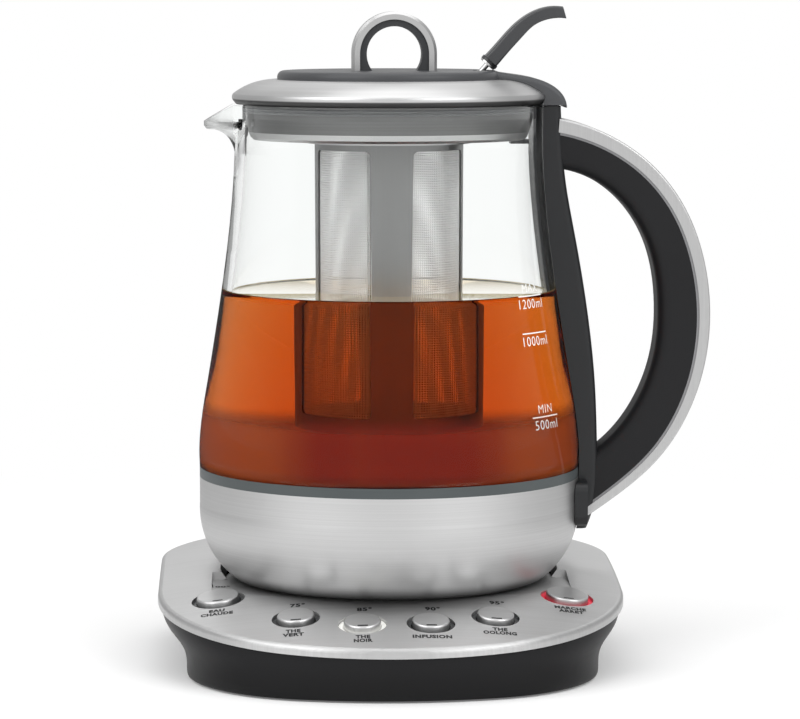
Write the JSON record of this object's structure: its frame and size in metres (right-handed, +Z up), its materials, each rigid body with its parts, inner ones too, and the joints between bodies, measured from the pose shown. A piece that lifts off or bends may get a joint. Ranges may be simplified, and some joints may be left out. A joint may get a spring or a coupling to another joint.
{
  "type": "automatic tea maker",
  "caption": "Electric tea maker: glass jug on a heated steel bowl and lit button base, lift-off lid with loop, lever and hanging tea infuser.",
  "frame": {"origin": "on the jug's upright axis, at the table the base stands on", "axes": "+Z up, +X to the handle, -X to the spout, -Y to the row of buttons"},
  "size_m": [0.2229, 0.2005, 0.2646],
  "materials": {
    "plate_steel": "brushed",
    "housing_plastic": "satin",
    "floor_plastic": "matte",
    "foot_rubber": "matte",
    "screw_steel": "polished",
    "socket_plastic": "satin",
    "contact_brass": "satin",
    "board": "satin",
    "switch_plastic": "matte",
    "relay_plastic": "gloss",
    "can_aluminium": "satin",
    "button_steel": "brushed",
    "light_clear": "satin",
    "light_white": "lit",
    "light_red": "lit",
    "jug_glass": "clear",
    "seam_grey": "satin",
    "gasket_silicone": "matte",
    "bowl_steel": "brushed",
    "heater_aluminium": "satin",
    "probe_steel": "polished",
    "cover_plastic": "matte",
    "handle_plastic": "satin",
    "band_steel": "brushed",
    "trim_grey": "satin",
    "lid_steel": "brushed",
    "lid_dark": "satin",
    "plug_steel": "brushed",
    "lip_steel": "brushed",
    "seal_silicone": "matte",
    "mesh_steel": "mesh"
  },
  "bodies": {
    "base": {"base_plate": "plate_steel", "base_housing": "housing_plastic", "base_floor": "floor_plastic", "base_foot_ring": "foot_rubber", "base_screws": "screw_steel", "connector_socket": "socket_plastic", "socket_contacts": "contact_brass", "control_board": "board", "button_switches": "switch_plastic", "power_board": "board", "relay": "relay_plastic", "capacitors": "can_aluminium", "cord_outlet": "foot_rubber", "hot_water_light_ring": "light_clear", "program_75_light_ring": "light_clear", "program_85_light_ring": "light_white", "program_90_light_ring": "light_clear", "program_95_light_ring": "light_clear", "power_light_ring": "light_red"},
    "jug_coupling": {"jug_connector": "contact_brass"},
    "jug": {"glass_jug": "jug_glass", "seam_ring": "seam_grey", "jug_gasket": "gasket_silicone", "steel_bowl": "bowl_steel", "heating_plate": "probe_steel", "heating_element": "heater_aluminium", "temperature_sensor": "probe_steel", "heater_bracket": "heater_aluminium", "thermal_control": "switch_plastic", "bowl_cover": "cover_plastic", "cover_screws": "screw_steel", "handle_spine": "handle_plastic", "handle_screws": "screw_steel", "handle_band": "band_steel", "handle_trim": "trim_grey", "handle_grip": "handle_plastic"},
    "lid": {"lid_dome": "lid_steel", "lid_top_plate": "lid_dark", "lid_plug": "plug_steel", "plug_lip": "lip_steel", "lid_seal": "seal_silicone", "loop_arch": "band_steel", "loop_liner": "lid_dark", "lid_screws": "screw_steel", "lever_pin": "screw_steel"},
    "lever": {"lid_lever": "lid_dark", "lever_rod": "screw_steel", "lever_washer": "screw_steel", "lid_latch": "lid_dark"},
    "infuser": {"infuser_ring": "lip_steel", "infuser_frame": "lip_steel", "infuser_mesh": "mesh_steel", "infuser_floor": "lip_steel"},
    "hot_water_key": {"hot_water_button": "button_steel"},
    "program_75_key": {"program_75_button": "button_steel"},
    "program_85_key": {"program_85_button": "button_steel"},
    "program_90_key": {"program_90_button": "button_steel"},
    "program_95_key": {"program_95_button": "button_steel"},
    "power_key": {"power_button": "button_steel"}
  },
  "joints": [
    {"name": "jug_lift", "type": "slide", "parent": "base", "child": "jug_coupling", "axis": [0, 0, 1], "range_m": [0, 0.06]},
    {"name": "jug_turn", "type": "hinge", "parent": "jug_coupling", "child": "jug", "pos_m": [0, 0, 0.04], "axis": [0, 0, 1], "continuous": true},
    {"name": "lid_lift", "type": "slide", "parent": "jug", "child": "lid", "axis": [0, 0, 1], "range_m": [0, 0.15]},
    {"name": "lever_tilt", "type": "hinge", "parent": "lid", "child": "lever", "pos_m": [0.036, 0, 0.2372], "axis": [0, 1, 0], "range_deg": [0, 8], "stiffness_Nm_per_rad": 0.1, "springref_deg": -11.46},
    {"name": "infuser_turn", "type": "hinge", "parent": "lid", "child": "infuser", "pos_m": [0, 0, 0.21], "axis": [0, 0, 1], "range_deg": [0, 30]},
    {"name": "hot_water_press", "type": "slide", "parent": "base", "child": "hot_water_key", "axis": [0.1178, 0.159, -0.9802], "range_m": [0, 0.001], "stiffness_N_per_m": 300, "springref_m": -0.002},
    {"name": "program_75_press", "type": "slide", "parent": "base", "child": "program_75_key", "axis": [0.0661, 0.2093, -0.9756], "range_m": [0, 0.001], "stiffness_N_per_m": 300, "springref_m": -0.002},
    {"name": "program_85_press", "type": "slide", "parent": "base", "child": "program_85_key", "axis": [0.0226, 0.2244, -0.9742], "range_m": [0, 0.001], "stiffness_N_per_m": 300, "springref_m": -0.002},
    {"name": "program_90_press", "type": "slide", "parent": "base", "child": "program_90_key", "axis": [-0.0226, 0.2244, -0.9742], "range_m": [0, 0.001], "stiffness_N_per_m": 300, "springref_m": -0.002},
    {"name": "program_95_press", "type": "slide", "parent": "base", "child": "program_95_key", "axis": [-0.0661, 0.2093, -0.9756], "range_m": [0, 0.001], "stiffness_N_per_m": 300, "springref_m": -0.002},
    {"name": "power_press", "type": "slide", "parent": "base", "child": "power_key", "axis": [-0.1178, 0.159, -0.9802], "range_m": [0, 0.001], "stiffness_N_per_m": 300, "springref_m": -0.002}
  ]
}
